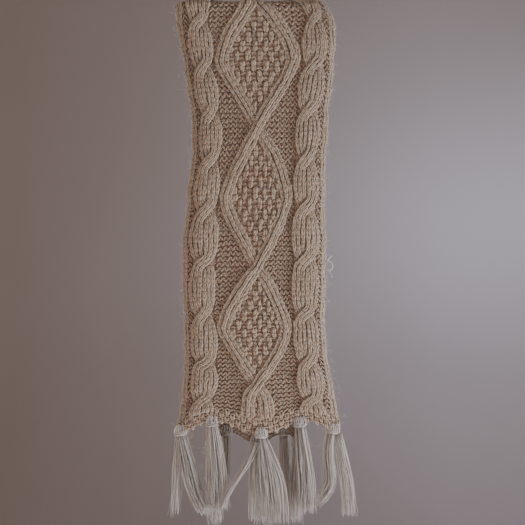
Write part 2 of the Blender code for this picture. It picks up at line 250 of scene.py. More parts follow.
class Sheet:
    """The hanging sheet as a fine grid of points and of right-side directions."""

    ROW_STEP = 0.25
    WALE_STEP = 0.25

    def __init__(self):
        rows = np.arange(0, ROWS + self.ROW_STEP / 2, self.ROW_STEP)
        half = np.arange(0, EDGE_WALE + self.WALE_STEP / 2, self.WALE_STEP)
        left = self.across(rows, half, "left")
        right = self.across(rows, half, "right")
        aside = np.concatenate((-left[0][:, :0:-1], right[0]), axis=1)
        under = np.concatenate((left[1][:, :0:-1], right[1]), axis=1)
        turn = np.concatenate((-left[2][:, :0:-1], right[2]), axis=1)
        wales = np.concatenate((-half[:0:-1], half))
        y, z = spine(rows)
        before, after = spine(np.maximum(rows - 0.2, 0)), spine(np.minimum(rows + 0.2, ROWS))
        along_y, along_z = after[0] - before[0], after[1] - before[1]
        length = np.hypot(along_y, along_z)
        out_y, out_z = (-along_z / length)[:, None], (along_y / length)[:, None]
        share = (wales + EDGE_WALE) / (2 * EDGE_WALE)
        wave = np.cos(4 * math.pi * (share - 0.02))[None, :]
        near = np.maximum(1 - np.minimum(rows, ROWS - rows) / SCALLOP_ROWS, 0)[:, None] ** 2
        front = (rows < FOLD_FIRST_ROW)[:, None]
        under = under + SCALLOP_SET_BACK * (1 - wave) / 2 * near * front
        outward = np.sign(wales)[None, :] * (np.abs(wales[None, :]) / EDGE_WALE) ** 3
        ripple = np.sin(rows * 0.62 + 0.8) + 0.7 * np.sin(rows * 1.37)
        ripple = ripple * np.clip(np.minimum(rows, ROWS - rows) / 4, 0, 1)
        aside = aside + EDGE_RIPPLE * outward * ripple[:, None]
        mid = smooth_between(SECTIONS, "mid", rows)[:, None] * MM
        self.points = np.stack(
            (
                mid + aside,
                y[:, None] - out_y * under,
                z[:, None] - out_z * under - SCALLOP * wave * near,
            ),
            axis=2,
        )
        self.normals = np.stack(
            (np.sin(turn), out_y * np.cos(turn), out_z * np.cos(turn)), axis=2
        )

    def across(self, rows, half, side):
        """Distance aside, distance to the wrong side and turn at each row and wale of one side."""
        panel = smooth_between(SECTIONS, f"{side}_panel", rows) * MM
        edging = smooth_between(SECTIONS, f"{side}_side", rows) * MM
        zero = np.zeros_like(rows)
        stops = (0, PANEL_HALF / 2, PANEL_HALF, CABLE_MIDDLE, CABLE_OUTER, EDGE_WALE)
        reach = (
            zero,
            panel / 2,
            panel,
            panel + edging * CABLE_SHARE / 2,
            panel + edging * CABLE_SHARE,
            panel + edging,
        )
        names = ("ground", "foot", "crest", "gutter", "edge")
        turns = [zero] + [np.radians(smooth_between(SECTIONS, name, rows)) for name in names]
        along = np.array([np.interp(half, stops, line) for line in np.array(reach).T])
        turn = np.array([np.interp(half, stops, line) for line in np.array(turns).T])
        middle = (turn[:, 1:] + turn[:, :-1]) / 2
        steps = np.diff(along, axis=1)
        start = np.zeros((len(rows), 1))
        aside = np.concatenate((start, np.cumsum(np.cos(middle) * steps, axis=1)), axis=1)
        under = np.concatenate((start, np.cumsum(np.sin(middle) * steps, axis=1)), axis=1)
        return aside, under, turn

    def place(self, wales, rows, heights):
        """World points of places on the sheet. Heights are in metres."""
        wales, rows, heights = np.broadcast_arrays(wales, rows, heights)
        i = (rows / self.ROW_STEP).ravel()
        j = ((wales + EDGE_WALE) / self.WALE_STEP).ravel()
        i0 = np.clip(np.floor(i).astype(int), 0, self.points.shape[0] - 2)
        j0 = np.clip(np.floor(j).astype(int), 0, self.points.shape[1] - 2)
        fi, fj = (i - i0)[:, None], (j - j0)[:, None]
        found = []
        for grid in (self.points, self.normals):
            low = grid[i0, j0] * (1 - fj) + grid[i0, j0 + 1] * fj
            high = grid[i0 + 1, j0] * (1 - fj) + grid[i0 + 1, j0 + 1] * fj
            found.append(low * (1 - fi) + high * fi)
        return found[0] + found[1] * heights.ravel()[:, None]


SHEET = Sheet()


# ---------------------------------------------------------------- the chart


def turn_distance(rows):
    """Rows from the nearest turn of the cables, signed, and which turn it is."""
    away = rows[..., None] - CABLE_TURNS
    nearest = np.argmin(np.abs(away), axis=-1)
    return np.take_along_axis(away, nearest[..., None], axis=-1)[..., 0], nearest


def bead(rows):
    """0 at a turn of the cables to 1 at the fat middle of a bead."""
    away, _ = turn_distance(rows)
    return 1 - np.exp(-((away / BEAD_ROWS) ** 2))


def strand_centre(strand, rows):
    """Wales from the cable's middle to one strand's middle. The strands change sides at each turn."""
    away, nearest = turn_distance(rows)
    side = np.where(nearest % 2 == 0, 1.0, -1.0)
    crossed = np.sign(away) * np.sqrt(1 - np.exp(-((away / TURN_ROWS) ** 2)))
    return strand * side * crossed * (STRAND_OUT_TURN + (STRAND_OUT - STRAND_OUT_TURN) * bead(rows))


def cable_column(strand, place, across, rows, middle):
    """(wale, row, height in mm) of the yarn of a strand of the cable whose middle wale is given.

    place is the column of the strand, across the wales of the yarn from that column's middle. Both
    are laid square to the strand's own course, which runs nearly level where it crosses over.
    """
    step = 0.1
    centre = strand_centre(strand, rows)
    lean = (strand_centre(strand, rows + step) - strand_centre(strand, rows - step)) / (2 * step)
    lean = lean * STITCH / ROW
    square = 1 / np.sqrt(1 + lean**2)
    full = bead(rows)
    spread = PLACE_TURN + (PLACE_FULL - PLACE_TURN) * full
    out = place * spread + across * (0.85 + 0.27 * full)
    wale = centre + out * square
    row = rows - out * square * lean * STITCH / ROW
    dome = np.sqrt(np.maximum(1 - (wale / 4.0) ** 2, 0))
    over = np.clip(lean, -1, 1)
    ridge = 1 - 0.5 * (place * 0.85) ** 2
    height = CABLE_LIFT + CABLE_CROWN * dome * (0.42 + 0.58 * full)
    return middle + wale, row, height + (1 - full) * (TURN_RISE * over + 0.9 * ridge)


def band_offset(rows):
    """Wales from the middle to the centre of the band that starts on the right, signed."""
    phase = (rows - FIRST_CROSSING) / REPEAT_ROWS
    count = np.floor(phase)
    t = phase - count
    bow = np.where(t > 0.5, BAND_BOW_ABOVE, BAND_BOW_BELOW)
    reach = BAND_REACH * (1 - (np.abs(1 - 2 * t) ** 2 + 0.0009) ** (bow / 2))
    outside = (rows < FIRST_CROSSING) | (rows > LAST_CROSSING)
    reach = np.where(outside, BAND_START * np.tanh(reach / BAND_START), reach)
    return np.where(count % 2 == 0, reach, -reach)


def crossing_nearness(rows):
    away = np.abs((rows - FIRST_CROSSING + REPEAT_ROWS / 2) % REPEAT_ROWS - REPEAT_ROWS / 2)
    return np.exp(-((away / 2.0) ** 2))


def band_column(strand, place, across, rows):
    """(wale, row, height in mm) of a band's yarn, laid square to the band's course."""
    step = 0.05
    centre = strand * band_offset(rows)
    lean = strand * (band_offset(rows + step) - band_offset(rows - step)) / (2 * step)
    lean = np.clip(lean, -1.4, 1.4) * STITCH / ROW
    square = 1 / np.sqrt(1 + lean**2)
    near = crossing_nearness(rows)
    out = (place * 0.9 + across * 0.95) * (1 - 0.16 * near)
    wale = centre + out * square
    row = rows - out * square * lean * STITCH / ROW
    height = BAND_LIFT + BAND_CROWN * (1 - place**2) + np.where(lean > 0, 1.5, -1.7) * near
    return wale, row, height


def relief(wales, rows):
    """Height in mm of the yarn over the sheet's middle, anywhere on the panel."""
    out = np.abs(wales)
    height = np.full(np.broadcast(wales, rows).shape, GROUND_LIFT)
    band = np.abs(band_offset(rows))
    height = np.where(out < band, MOSS_LIFT, height)
    height = np.where(np.abs(out - band) < 1.5, BAND_LIFT, height)
    full = bead(rows)
    across_cable = (out - CABLE_MIDDLE) / (2.7 + 0.8 * full)
    dome = np.sqrt(np.maximum(1 - across_cable**2, 0))
    dome = CABLE_LIFT + CABLE_CROWN * dome * (0.42 + 0.58 * full)
    height = np.where(np.abs(across_cable) < 1, dome, height)
    height = np.where(out > CABLE_OUTER, GUTTER_LIFT, height)
    height = np.where(out > CABLE_OUTER + 1, SELVEDGE_LIFT, height)
    border = np.minimum(rows, ROWS - rows) < BORDER_ROWS
    return np.where(border, BORDER_LIFT, height)


# ---------------------------------------------------------------- yarn


Loop = namedtuple("Loop", "points faces around along shade")
LEG_STEPS = 6
WAVE_STEPS = 10
YARN_SIDES = 5


def unit(vectors):
    return vectors / (np.linalg.norm(vectors, axis=-1)[..., None] + 1e-12)


def tube_points(course, square_to, half_wide, half_thick, sides):
    """Points (..., ring, side, 3) of tubes round courses of points. Their flat way is square_to."""
    run = unit(np.gradient(course, axis=-2))
    aside = unit(np.cross(run, square_to))
    out = np.cross(aside, run)
    turn = 2 * math.pi * np.arange(sides)[:, None] / sides
    wide, thick = np.asarray(half_wide)[..., None, None], np.asarray(half_thick)[..., None, None]
    ring = aside[..., None, :] * np.cos(turn) * wide + out[..., None, :] * np.sin(turn) * thick
    return course[..., None, :] + ring


def tube_loop(course, square_to, half_wide, half_thick, sides, shade, unit_length=1.0):
    """A closed tube round a course of points. unit_length is a millimetre in the course's units."""
    rings = len(course)
    faces = []
    for ring, side in product(range(rings - 1), range(sides)):
        here, above = ring * sides, (ring + 1) * sides
        following = (side + 1) % sides
        faces.append((above + side, above + following, here + following, here + side))
    faces.append(tuple(range(sides)))
    faces.append(tuple(range(rings * sides - 1, (rings - 1) * sides - 1, -1)))
    points = tube_points(course, square_to, half_wide, half_thick, sides).reshape(-1, 3)
    lengths = np.concatenate(([0], np.cumsum(np.linalg.norm(np.diff(course, axis=0), axis=1))))
    around = np.tile(np.arange(sides) / sides, rings)
    along = np.repeat(lengths / unit_length, sides)
    return Loop(points, faces, around, along, np.repeat(shade, sides))


def yarn_loop(across, up, out, half_wide, half_thick, shade):
    """Yarn round a course in mm that is drawn flat on the knitting."""
    course = np.stack((across, up, out), axis=1)
    return tube_loop(course, (0, 0, 1), half_wide, half_thick, YARN_SIDES, shade)


def strand_loop(course, radius, sides=YARN_SIDES):
    """A round strand along a course of world points, thinning to its end."""
    taper = radius * (1 - 0.55 * np.linspace(0, 1, len(course)) ** 2.5)
    return tube_loop(course, (0.03, 1.0, 0.05), taper, taper, sides, np.ones(len(course)), MM)


def swell(t, ends, gain, power):
    """ends at both ends of the yarn and gain more at its middle. A low power makes it blunt."""
    return ends + gain * np.sin(math.pi * t) ** power


def knit_leg(side):
    """One leg of a knit stitch: a plump leaf that leans out as it rises, both its ends tucked in."""
    t = np.linspace(0, 1, LEG_STEPS)
    across = side * STITCH * (0.075 + 0.205 * t**0.8)
    up = ROW * (-0.32 + 1.58 * t)
    out = swell(t, ends=-0.45, gain=1.0, power=0.55)
    wide = swell(np.clip(t * 0.94 + 0.05, 0, 1), ends=0.62, gain=0.66, power=0.7)
    thick = swell(t, ends=0.62, gain=0.5, power=0.6)
    return yarn_loop(across, up, out, wide, thick, swell(t, ends=0.7, gain=0.3, power=0.5))


def moss_leg(side):
    """A leg of a knit stitch between purl ones: short, fat and standing proud."""
    t = np.linspace(0, 1, LEG_STEPS)
    across = side * STITCH * swell(t * 0.8, ends=0.055, gain=0.13, power=1)
    up = ROW * (-0.2 + 1.36 * t)
    out = swell(t, ends=-0.5, gain=1.3, power=0.7)
    wide = swell(t, ends=0.6, gain=0.98, power=0.7)
    return yarn_loop(across, up, out, wide, wide * 0.95, swell(t, ends=0.3, gain=0.5, power=0.6))


def purl_wave():
    """The head and the sinkers of a purl stitch: one wave of yarn from border to border."""
    t = np.linspace(-0.55, 0.55, WAVE_STEPS)
    swing = np.cos(2 * math.pi * t)
    out = 0.1 + 0.75 * np.abs(swing) ** 0.7
    size = 0.88 + 0.3 * np.abs(swing)
    shade = 0.05 + 0.45 * np.abs(swing)
    return yarn_loop(STITCH * t, ROW * (0.5 + 0.29 * swing), out, size, size, shade)


def purl_seed():
    """A purl stitch among knit ones: its head lies low across the gap."""
    t = np.linspace(-1, 1, LEG_STEPS)
    bow = np.sqrt(np.maximum(1 - (t * 0.96) ** 2, 0))
    up = ROW * (0.14 + 0.48 * bow)
    size = 0.75 + 0.5 * bow
    return yarn_loop(STITCH * 0.44 * t, up, 1.3 * bow - 0.8, size, size * 0.95, 0.05 + 0.35 * bow)


def wobble(wales, rows, amount, scale, phase):
    """A smooth uneven drift over the sheet, about -1 to 1 times the amount."""
    a = np.sin(wales / scale * 1.9 + rows / scale * 0.7 + phase)
    b = np.sin(wales / scale * 0.8 - rows / scale * 1.5 + phase * 1.7)
    c = np.sin(wales / scale * 3.1 + rows / scale * 2.3 + phase * 2.9)
    return amount * (0.45 * a + 0.4 * b + 0.3 * c)


def hand_knit(wales, rows, heights):
    """Places on the sheet as uneven hands leave them, with the right side pulled up a little."""
    near_edge = np.minimum(rows, ROWS - rows)
    free = np.clip(near_edge / 6, 0, 1) * np.clip((EDGE_WALE + 1 - np.abs(wales)) / 3, 0, 1)
    drift = SKEW_ROWS * np.clip(rows / 50, 0, 1) * np.clip((ROWS / 2 + 3 - rows) / 5, 0, 1)
    new_rows = rows + drift * wales / EDGE_WALE + free * wobble(wales, rows, 0.24, 2.6, 1.0)
    new_wales = wales + free * wobble(wales, rows, 0.17, 3.1, 2.2)
    return new_wales, new_rows, heights + wobble(wales, rows, 0.3, 2.2, 4.1)


class Knitting:
    """Gathers loops of yarn and makes one joined mesh of them."""

    def __init__(self, seed):
        self.random = np.random.default_rng(seed)
        self.points, self.faces, self.uv, self.tone, self.shade = [], [], [], [], []
        self.count = 0

    def add(self, loop, points, tone):
        """points is (copies, loop points, 3) in the world."""
        copies, size = points.shape[:2]
        self.points.append(points.reshape(-1, 3))
        starts = self.count + size * np.arange(copies)
        for length in sorted({len(face) for face in loop.faces}):
            faces = np.array([face for face in loop.faces if len(face) == length])
            self.faces.append((faces[None] + starts[:, None, None]).reshape(-1, length))
        self.uv.append(np.tile(np.stack((loop.around, loop.along), axis=1), (copies, 1)))
        self.tone.append(np.repeat(tone, size))
        self.shade.append(np.tile(loop.shade, copies))
        self.count += copies * size

    def lay(self, loop, wale, row, height):
        """Lay copies of a loop on the sheet, at a wale, a row and a height in mm for each point."""
        wale, row, height = hand_knit(wale, row, height)
        placed = SHEET.place(wale, row, height * MM).reshape(len(wale), -1, 3)
        self.add(loop, placed, self.random.uniform(0, 1, len(wale)))

    def stitches(self, loop, column, rows):
        """Copies of a loop up one column. column(across, rows) gives wale, row and height in mm."""
        beside, above, out = loop.points.T / np.array([[STITCH], [ROW], [1.0]])
        along, lift, aside, size, lean = self.random.normal(0, 1, (5, len(rows), 1))
        size = 1 + SIZE_SPREAD * size
        across = beside * size + 0.035 * aside + 0.06 * lean * above
        wale, row, height = column(across, rows[:, None].astype(float) + above + 0.06 * along)
        self.lay(loop, wale, row, height + out * size + LIFT_SPREAD * lift)

    def cells(self, loop, places, lift, uneven=1.0):
        """Copies of a loop at single cells of the chart, given as (wale, row) pairs."""
        wales, rows = np.array(places, float).T[..., None]
        beside, above, out = loop.points.T / np.array([[STITCH], [ROW], [1.0]])
        aside, along, high, size, turn = uneven * self.random.normal(0, 1, (5, len(wales), 1))
        size, turn = 1 + SIZE_SPREAD * size, 0.1 * turn
        wale = wales + beside * size + turn * (above - 0.5) + 0.04 * aside
        row = rows + above - turn * beside + 0.05 * along
        self.lay(loop, wale, row, lift + out * size + LIFT_SPREAD * high)

    def strand(self, course, radius, sides=YARN_SIDES):
        loop = strand_loop(course, radius, sides)
        self.add(loop, loop.points[None], self.random.uniform(0, 1, 1))

    def piece(self, name, material):
        """Join all the loops into one object of the scene."""
        uv = np.concatenate(self.uv)
        attributes = {"tone": np.concatenate(self.tone), "shade": np.concatenate(self.shade)}
        made = mesh_piece(name, np.concatenate(self.points), self.faces, material, uv, attributes)
        return made


def mesh_piece(name, points, face_groups, material, uv=None, attributes=None):
    """A smooth object of the scene from arrays. face_groups is a list of (faces, corners) arrays."""
    mesh = bpy.data.meshes.new(name)
    corners = np.concatenate([group.ravel() for group in face_groups]).astype(np.int32)
    sizes = np.concatenate([np.full(len(group), group.shape[1]) for group in face_groups])
    starts = np.concatenate(([0], np.cumsum(sizes)[:-1])).astype(np.int32)
    mesh.vertices.add(len(points))
    mesh.vertices.foreach_set("co", np.asarray(points, np.float32).ravel())
    mesh.loops.add(len(corners))
    mesh.loops.foreach_set("vertex_index", corners)
    mesh.polygons.add(len(starts))
    mesh.polygons.foreach_set("loop_start", starts)
    if uv is not None:
        layer = mesh.uv_layers.new(name="yarn")
        layer.data.foreach_set("uv", np.asarray(uv, np.float32)[corners].ravel())
    for key, values in (attributes or {}).items():
        mesh.attributes.new(key, "FLOAT", "POINT").data.foreach_set("value", values.astype(np.float32))
    mesh.update(calc_edges=True)
    mesh.validate()
    mesh.shade_smooth()
    mesh.materials.append(material)
    made = bpy.data.objects.new(name, mesh)
    bpy.context.scene.collection.objects.link(made)
    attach(made, BODY)
    return made


# ---------------------------------------------------------------- materials


class Nodes:
    """A short way to write a material's node tree."""

    def __init__(self, name):
        self.material = bpy.data.materials.new(name)
        self.material.use_nodes = True
        self.tree = self.material.node_tree
        self.shader = self.tree.nodes["Principled BSDF"]

    def fill(self, node, inputs):
        for key, value in inputs.items():
            if isinstance(value, bpy.types.NodeSocket):
                self.tree.links.new(value, node.inputs[key])
            else:
                node.inputs[key].default_value = value

    def add(self, kind, inputs=None, **settings):
        node = self.tree.nodes.new(kind)
        for key, value in settings.items():
            setattr(node, key, value)
        self.fill(node, inputs or {})
        return node

    def place(self):
        return self.add("ShaderNodeTexCoord").outputs["Object"]

    def split(self, vector):
        return self.add("ShaderNodeSeparateXYZ", {0: vector}).outputs

    def yarn(self):
        """(turns round the yarn, millimetres along it), or (wale, row) on the panel."""
        return self.split(self.add("ShaderNodeUVMap", uv_map="yarn").outputs["UV"])[:2]

    def attribute(self, name):
        return self.add("ShaderNodeAttribute", attribute_name=name).outputs["Fac"]

    def noise(self, scale, detail, roughness=0.5):
        inputs = {"Vector": self.place(), "Scale": scale, "Detail": detail, "Roughness": roughness}
        return self.add("ShaderNodeTexNoise", inputs).outputs["Fac"]

    def maths(self, operation, a, b=0.0):
        return self.add("ShaderNodeMath", {0: a, 1: b}, operation=operation).outputs[0]

    def scaled(self, value, by, plus=0.0):
        return self.maths("ADD", self.maths("MULTIPLY", value, by), plus)

    def ridges(self, value):
        """0 at each whole number to 1 half way between them."""
        return self.maths("ABSOLUTE", self.maths("SINE", self.scaled(value, math.pi)))

    def span(self, value, from_min, from_max, to_min, to_max):
        limits = {"From Min": from_min, "From Max": from_max, "To Min": to_min, "To Max": to_max}
        return self.add("ShaderNodeMapRange", {"Value": value, **limits}).outputs[0]

    def mix(self, share, light, shaded_and_uneven):
        colours = {0: share, 6: (*light, 1.0), 7: (*shaded_and_uneven, 1.0)}
        return self.add("ShaderNodeMix", colours, data_type="RGBA").outputs[2]

    def bump(self, height, strength, distance):
        inputs = {"Strength": strength, "Distance": distance, "Height": height}
        return self.add("ShaderNodeBump", inputs).outputs[0]

    def finish(self, **sockets):
        """Set or link the shader's sockets, written with _ for each space, and give the material."""
        self.fill(self.shader, {key.replace("_", " "): value for key, value in sockets.items()})
        return self.material


def wool_material(name, colours, depths, ply_length, bump_reach):
    """Plied wool: twisted plies and stray fibres in the bump, with painted shade, darker and warmer,
    where it tucks in and in the grooves between plies, and an uneven tone.
    """
    nodes = Nodes(name)
    around, along = nodes.yarn()
    ridge = nodes.ridges(nodes.scaled(around, PLIES, nodes.scaled(along, 1 / ply_length)))
    fibres = nodes.noise(2600.0, 4.0, 0.65)
    height = nodes.scaled(ridge, depths.ply_depth, nodes.scaled(fibres, depths.fibre_depth))
    # What darkens the yarn, the level at which it does nothing, and how much it does: painted shade
    # where the yarn tucks in and in the ply grooves, then uneven tone, patches and flecks of the wool's
    # own colour
    darkening = (
        (nodes.attribute("shade"), 1.0, -depths.tuck_shade),
        (ridge, 1.0, -0.12),
        (nodes.attribute("tone"), 0.5, 0.16),
        (nodes.noise(22.0, 3.0), 0.5, 0.35),
        (nodes.noise(420.0, 2.0), 0.5, 0.3),
    )
    total = 0.0
    for value, level, amount in darkening:
        total = nodes.scaled(nodes.maths("SUBTRACT", value, level), amount, total)
    share = nodes.add("ShaderNodeClamp", {"Value": total}).outputs[0]
    return nodes.finish(
        Base_Color=nodes.mix(share, colours.light, colours.shaded_and_uneven),
        Normal=nodes.bump(height, 0.8, bump_reach),
        Roughness=nodes.scaled(fibres, 0.14, 0.78),
        Subsurface_Weight=0.6,
        Subsurface_Radius=(1.0, 0.85, 0.75),
        Subsurface_Scale=0.0024,
        Sheen_Weight=0.5,
        Sheen_Roughness=0.45,
        Sheen_Tint=(1.0, 0.94, 0.86, 1.0),
        Specular_IOR_Level=0.25,
    )


def backing_material(name, colours):
    """The wrong side and the depths between stitches: rows of small purl bumps, with painted shade that
    leans the whole sheet towards the shaded colour, most in the grooves between rows.
    """
    nodes = Nodes(name)
    wale, row = nodes.yarn()
    column = nodes.maths("COSINE", nodes.scaled(wale, 2 * math.pi))
    line = nodes.ridges(nodes.scaled(column, 0.17, row))
    fibres = nodes.noise(2200.0, 4.0)
    # Painted shade: the sheet mixes 45 to 70 percent towards the second colour, most in the grooves
    # between its rows
    share = nodes.span(line, from_min=0.1, from_max=0.9, to_min=0.7, to_max=0.45)
    return nodes.finish(
        Base_Color=nodes.mix(share, colours.light, colours.shaded_and_uneven),
        Normal=nodes.bump(nodes.scaled(fibres, 0.25, line), 1.0, 0.0016),
        Roughness=nodes.scaled(fibres, 0.12, 0.82),
        Sheen_Weight=0.25,
        Specular_IOR_Level=0.2,
    )


def chrome_material(name, colour):
    """Polished metal, a little dull where it is handled."""
    nodes = Nodes(name)
    smear = nodes.noise(90.0, 5.0)
    return nodes.finish(
        Base_Color=nodes.mix(smear, colour, [part * 0.86 for part in colour]),
        Metallic=1.0,
        Roughness=nodes.scaled(smear, 0.14, 0.06),
        Normal=nodes.bump(nodes.noise(1400.0, 2.0), 0.05, 0.0002),
    )


def pale_material(name, colour, shaded):
    """Matt paint, with painted shade that makes it a little warmer and dimmer on the left."""
    nodes = Nodes(name)
    side = nodes.split(nodes.place())[0]
    across = nodes.span(side, from_min=-1.3, from_max=1.0, to_min=0.9, to_max=0.0)
    share = nodes.scaled(nodes.noise(1.2, 2.0), 0.12, across)
    return nodes.finish(Base_Color=nodes.mix(share, colour, shaded), Roughness=0.9)


# ---------------------------------------------------------------- settings


def colour_setting(label, about, default):
    return bpy.props.FloatVectorProperty(
        name=label, description=about, default=default, size=3, min=0, max=1, subtype="COLOR"
    )


def length_setting(label, about, default):
    return bpy.props.FloatProperty(name=label, description=about, default=default, unit="LENGTH")


def share_setting(label, about, default, most=1):
    return bpy.props.FloatProperty(name=label, description=about, default=default, min=0, max=most)


class KnitSettings(bpy.types.PropertyGroup):
    """Colours and depths of the knitted wool, and the panel's flat size."""

    light: colour_setting("Wool", "Colour of the yarn in the light", (0.67, 0.52, 0.40))
    # Painted shade: this second colour is mixed in where the yarn tucks in, in the ply grooves and over
    # the backing, and it also gives the yarn its uneven tone
    shaded_and_uneven: colour_setting("Tucked wool", "Colour of the yarn where it tucks in", (0.40, 0.26, 0.175))
    ply_depth: share_setting("Ply depth", "Depth of the grooves between the plies", 0.55, most=2)
    fibre_depth: share_setting("Fibre depth", "Depth of the fuzz in the bump", 0.5, most=2)
    tuck_shade: share_setting("Tuck shade", "How much tucked yarn darkens", 0.48)
    knit_width: length_setting("Flat width", "Width of the panel laid flat", 0.162)
    knit_length: length_setting("Flat length", "Length of the panel laid flat", 0.955)


class FringeSettings(bpy.types.PropertyGroup):
    """Sizes and colours of the tassels."""

    # Painted light: the fringe is the knitting's own yarn, but both its colours are paler, the second
    # near the knitted wool's lit colour, so the shade among the strands reads lighter
    light: colour_setting("Fringe", "Colour of the strands", (0.78, 0.70, 0.645))
    shaded_and_uneven: colour_setting("Fringe depths", "Colour between the strands", (0.66, 0.53, 0.44))
    strand: length_setting("Strand radius", "Radius of one strand", 0.00062)
    neck: length_setting("Neck", "Half width of a tassel at its knot", 0.0062)


class FuzzSettings(bpy.types.PropertyGroup):
    """The halo of stray fibres."""

    fibres: bpy.props.IntProperty(
        name="Fibres", description="Number of stray fibres on each fall", default=4200, min=0, max=7000
    )
    edge_share: share_setting("Edge share", "Part of the fibres that stand at the side edges", 0.14)
    radius: length_setting("Fibre radius", "Radius of a stray fibre", 0.00012)


class HookSettings(bpy.types.PropertyGroup):
    """Finish of the hooks."""

    metal: colour_setting("Metal", "Colour of the polished metal", (0.62, 0.60, 0.57))


class StageSettings(bpy.types.PropertyGroup):
    """The studio round the scarf."""

    backdrop: colour_setting("Backdrop", "Colour of the floor and backdrop", (0.90, 0.90, 0.98))
    # Painted shade: the backdrop turns towards this warmer, darker colour on its left side
    backdrop_shaded: colour_setting("Warm backdrop", "Colour of its left side", (0.54, 0.46, 0.41))
    drum_radius: length_setting("Backdrop radius", "Distance to the round backdrop", 2.6)
    floor_drop: length_setting("Floor drop", "How far the floor lies under the scarf", 1.1)


# ---------------------------------------------------------------- pieces


def wool(context):
    knit = context.scene.knit_settings
    found = bpy.data.materials.get("knit wool")
    return found or wool_material("knit wool", knit, knit, ply_length=2.6, bump_reach=0.85 * MM)


def fringe_wool(context):
    fringe, knit = context.scene.fringe_settings, context.scene.knit_settings
    found = bpy.data.materials.get("fringe wool")
    return found or wool_material("fringe wool", fringe, knit, ply_length=3.4, bump_reach=0.25 * MM)


FALLS = (("front", 0, FALL_TOP_ROW), ("back", FALL_TOP_ROW, ROWS))


def inner_rows(first, last):
    """The fall's rows between its border and its top."""
    return np.arange(max(first, BORDER_ROWS), min(last, ROWS - BORDER_ROWS))


class SCARF_OT_backing(bpy.types.Operator):
    """Make the knitted panel itself, a thin sheet that every stitch lies on."""

    bl_idname = "scarf.backing"
    bl_label = "Knitted panel"

    def execute(self, context):
        wales = np.arange(-EDGE_WALE, EDGE_WALE + 0.01, 0.5)
        rows = np.arange(0, ROWS + 0.01, 1.0)
        across, up = np.meshgrid(wales, rows)
        top = relief(across, up) - BACKING_DROP
        sides = np.ones_like(across, bool)
        sides[1:-1, 1:-1] = False
        top = np.where(sides, SHEET_BACK + 0.5, top)
        right = SHEET.place(across, up, top * MM)
        wrong = SHEET.place(across, up, SHEET_BACK * MM)
        count = across.size
        line, width = len(rows), len(wales)
        index = np.arange(count).reshape(line, width)
        quads = np.stack((index[:-1, :-1], index[:-1, 1:], index[1:, 1:], index[1:, :-1]), axis=-1)
        quads = quads.reshape(-1, 4)
        rim = np.concatenate((index[0, :-1], index[:-1, -1], index[-1, :0:-1], index[:0:-1, 0]))
        after = np.roll(rim, -1)
        walls = np.stack((rim, rim + count, after + count, after), axis=1)
        faces = np.concatenate((quads, quads[:, ::-1] + count, walls))
        uv = np.stack((across.ravel() + 0.5, up.ravel()), axis=1)
        panel = mesh_piece(
            "knit_panel",
            np.concatenate((right, wrong)),
            [faces],
            backing_material("knit backing", context.scene.knit_settings),
            np.concatenate((uv, uv)),
        )
        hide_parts("scarf_front_fall", "scarf_fold", "scarf_back_fall")
        return {"FINISHED"}


def rib(knitting, column, rows):
    """Knit one column of knit stitches, first every left leg and then every right one."""
    for side in (-1, 1):
        knitting.stitches(knit_leg(side), column, rows)


class SCARF_OT_cables(bpy.types.Operator):
    """Knit the two rope cables: two strands of three columns that cross again and again."""

    bl_idname = "scarf.cables"
    bl_label = "Rope cables"

    def execute(self, context):
        for fall, first, last in FALLS:
            for side, name in ((-1, "left"), (1, "right")):
                knitting = Knitting(SEED + first + side)
                for strand, place in product((-1, 1), (-1, 0, 1)):
                    column = partial(cable_column, strand, place, middle=side * CABLE_MIDDLE)
                    rib(knitting, column, inner_rows(first, last))
                knitting.piece(f"cable_{fall}_{name}", wool(context))
        return {"FINISHED"}


class SCARF_OT_lattice(bpy.types.Operator):
    """Knit the two bands that travel, cross and outline the diamonds."""

    bl_idname = "scarf.lattice"
    bl_label = "Diamond lattice"

    def execute(self, context):
        for fall, first, last in FALLS:
            knitting = Knitting(SEED + 20 + first)
            for strand, place in product((-1, 1), (-1, 0, 1)):
                rib(knitting, partial(band_column, strand, place), inner_rows(first, last))
            knitting.piece(f"lattice_{fall}", wool(context))
        return {"FINISHED"}


def knits_here(wale_number, row):
    """Double moss: knit and purl change places every stitch and every second row."""
    return (wale_number + row // 2) % 2 == 0


class SCARF_OT_ground(bpy.types.Operator):
    """Knit the purl ground outside the diamonds and the double moss inside them."""

    bl_idname = "scarf.ground"
    bl_label = "Ground and moss"

    def execute(self, context):
        for fall, first, last in FALLS:
            purls, knits, seeds = [], [], []
            for row in inner_rows(first, last):
                band = abs(float(band_offset(np.array([row + 0.5]))[0]))
                for number in range(-PANEL_HALF, PANEL_HALF):
                    wale = number + 0.5
                    if abs(abs(wale) - band) < 1.2:
                        continue
                    if abs(wale) > band:
                        purls.append((wale, row))
                    elif knits_here(number, row):
                        knits.append((wale, row))
                    else:
                        seeds.append((wale, row))
            ground = Knitting(SEED + 40 + first)
            ground.cells(purl_wave(), purls, GROUND_LIFT)
            ground.piece(f"purl_ground_{fall}", wool(context))
            moss = Knitting(SEED + 60 + first)
            for side in (-1, 1):
                moss.cells(moss_leg(side), knits, MOSS_LIFT, MOSS_UNEVEN)
            moss.cells(purl_seed(), seeds, MOSS_LIFT - 0.6, MOSS_UNEVEN)
            moss.piece(f"moss_{fall}", wool(context))
        return {"FINISHED"}


def edge_column(wale, across, rows):
    return wale + across, rows, np.full_like(rows, SELVEDGE_LIFT)


